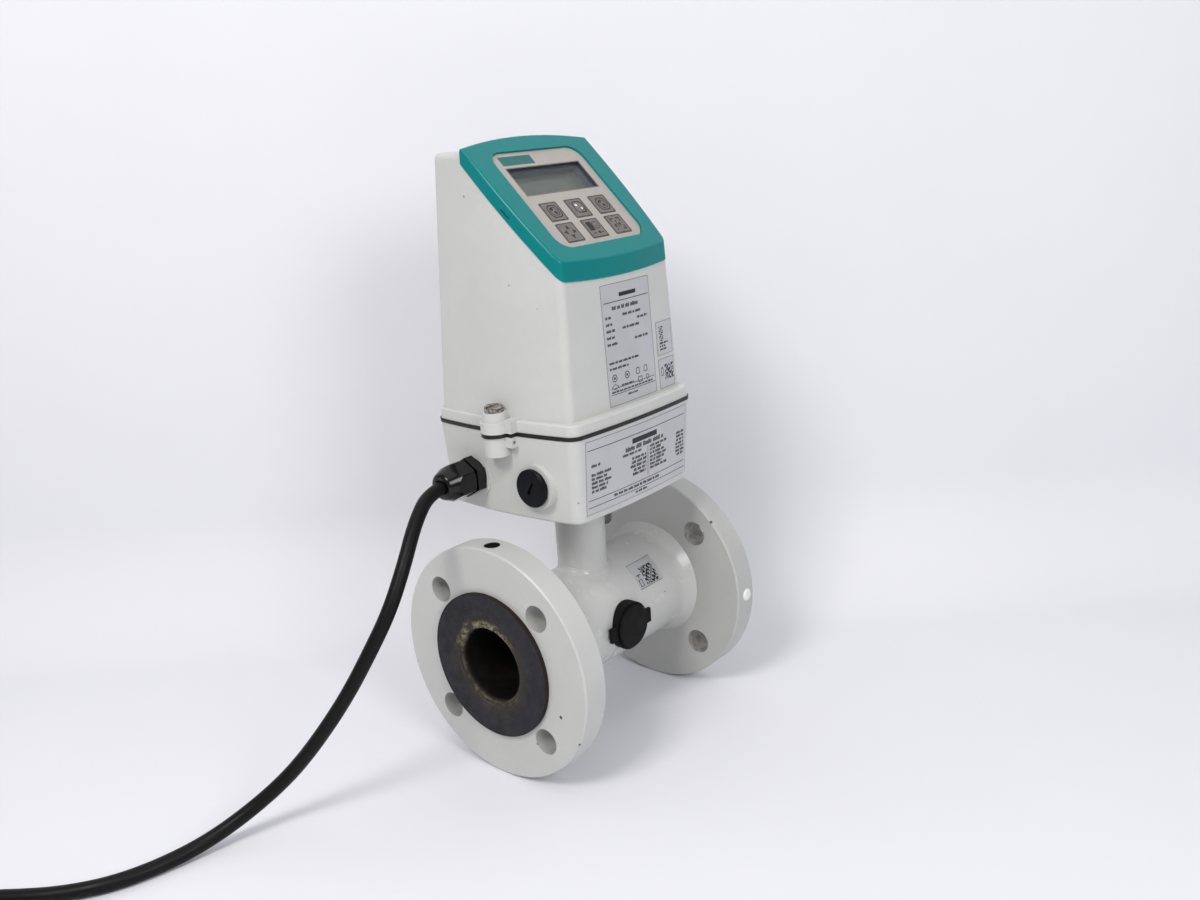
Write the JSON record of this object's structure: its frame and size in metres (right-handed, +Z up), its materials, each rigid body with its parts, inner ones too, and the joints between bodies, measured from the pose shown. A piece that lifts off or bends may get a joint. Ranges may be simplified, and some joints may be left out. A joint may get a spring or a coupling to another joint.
{
  "type": "electromagnetic flow meter",
  "caption": "Compact electromagnetic flow meter: flanged lined tube, coil housing, terminal box with cable gland, and a slanted keypad head with a display.",
  "frame": {"origin": "centre of the inlet bolt circle on the inlet flange's outer face", "axes": "+X along the pipe towards the outlet, +Z up through the neck, keypad towards -Y"},
  "size_m": [0.6418, 0.343, 0.4204],
  "materials": {
    "white_steel": "satin",
    "white_casting": "satin",
    "teal_plastic": "satin",
    "liner_rubber": "matte",
    "gasket_rubber": "matte",
    "steel": "brushed",
    "screw_steel": "turned",
    "copper_winding": "varnished",
    "circuit_board": "satin",
    "green_plastic": "satin",
    "black_plastic": "matte",
    "black_gloss": "gloss",
    "plug_plastic": "satin",
    "brass_fitting": "machined",
    "wire_insulation": "satin",
    "panel_plastic": "matte",
    "key_rubber": "matte",
    "display_glass": "gloss",
    "display_cell": "gloss",
    "rubber_dome": "matte",
    "ribbon_plastic": "satin",
    "white_plastic": "satin",
    "silver_label": "satin",
    "cable_jacket": "satin",
    "ferrule_metal": "plated"
  },
  "bodies": {
    "meter": {"base_plate": "black_plastic", "base_screws": "steel", "bezel": "teal_plastic", "blanking_plugs": "plug_plastic", "board_plug": "black_plastic", "board_socket": "black_plastic", "body_label": "silver_label", "box_gasket": "gasket_rubber", "box_label": "silver_label", "cable": "cable_jacket", "cable_coil": "cable_jacket", "cable_cores": "wire_insulation", "cable_tail": "cable_jacket", "coil_housing": "white_steel", "connection_board": "circuit_board", "cover_screws": "screw_steel", "display_board": "circuit_board", "display_module": "display_cell", "display_ribbon": "ribbon_plastic", "display_window": "display_glass", "earth_terminal": "brass_fitting", "electrode_nuts": "steel", "entry_washers": "gasket_rubber", "ferrules": "ferrule_metal", "field_coils": "copper_winding", "front_panel": "panel_plastic", "gland_body": "black_gloss", "gland_locknut": "black_gloss", "gland_nut": "black_gloss", "gland_seal": "gasket_rubber", "ground_electrode": "steel", "inlet_flange": "white_steel", "key_domes": "rubber_dome", "liner": "liner_rubber", "magnet_yoke": "steel", "main_board": "circuit_board", "measuring_electrodes": "steel", "measuring_tube": "steel", "memory_module": "black_plastic", "neck": "white_steel", "neck_screws": "steel", "outlet_flange": "white_steel", "pole_shoes": "steel", "port_caps": "black_plastic", "power_transformer": "black_plastic", "rating_label": "silver_label", "rim_plug": "white_plastic", "sensor_leads": "wire_insulation", "side_labels": "silver_label", "supply_wires": "wire_insulation", "terminal_blocks": "green_plastic", "terminal_box": "white_casting", "transmitter_housing": "white_casting"},
    "key_lower_centre_body": {"key_lower_centre": "key_rubber"},
    "key_lower_left_body": {"key_lower_left": "key_rubber"},
    "key_lower_right_body": {"key_lower_right": "key_rubber"},
    "key_upper_centre_body": {"key_upper_centre": "key_rubber"},
    "key_upper_left_body": {"key_upper_left": "key_rubber"},
    "key_upper_right_body": {"key_upper_right": "key_rubber"}
  },
  "joints": [
    {"name": "key_lower_centre_press", "type": "slide", "parent": "meter", "child": "key_lower_centre_body", "axis": [0, 0.7009, -0.7133], "range_m": [0, 0.0005], "stiffness_N_per_m": 400, "springref_m": -0.0004},
    {"name": "key_lower_left_press", "type": "slide", "parent": "meter", "child": "key_lower_left_body", "axis": [0, 0.7009, -0.7133], "range_m": [0, 0.0005], "stiffness_N_per_m": 400, "springref_m": -0.0004},
    {"name": "key_lower_right_press", "type": "slide", "parent": "meter", "child": "key_lower_right_body", "axis": [0, 0.7009, -0.7133], "range_m": [0, 0.0005], "stiffness_N_per_m": 400, "springref_m": -0.0004},
    {"name": "key_upper_centre_press", "type": "slide", "parent": "meter", "child": "key_upper_centre_body", "axis": [0, 0.7009, -0.7133], "range_m": [0, 0.0005], "stiffness_N_per_m": 400, "springref_m": -0.0004},
    {"name": "key_upper_left_press", "type": "slide", "parent": "meter", "child": "key_upper_left_body", "axis": [0, 0.7009, -0.7133], "range_m": [0, 0.0005], "stiffness_N_per_m": 400, "springref_m": -0.0004},
    {"name": "key_upper_right_press", "type": "slide", "parent": "meter", "child": "key_upper_right_body", "axis": [0, 0.7009, -0.7133], "range_m": [0, 0.0005], "stiffness_N_per_m": 400, "springref_m": -0.0004}
  ]
}
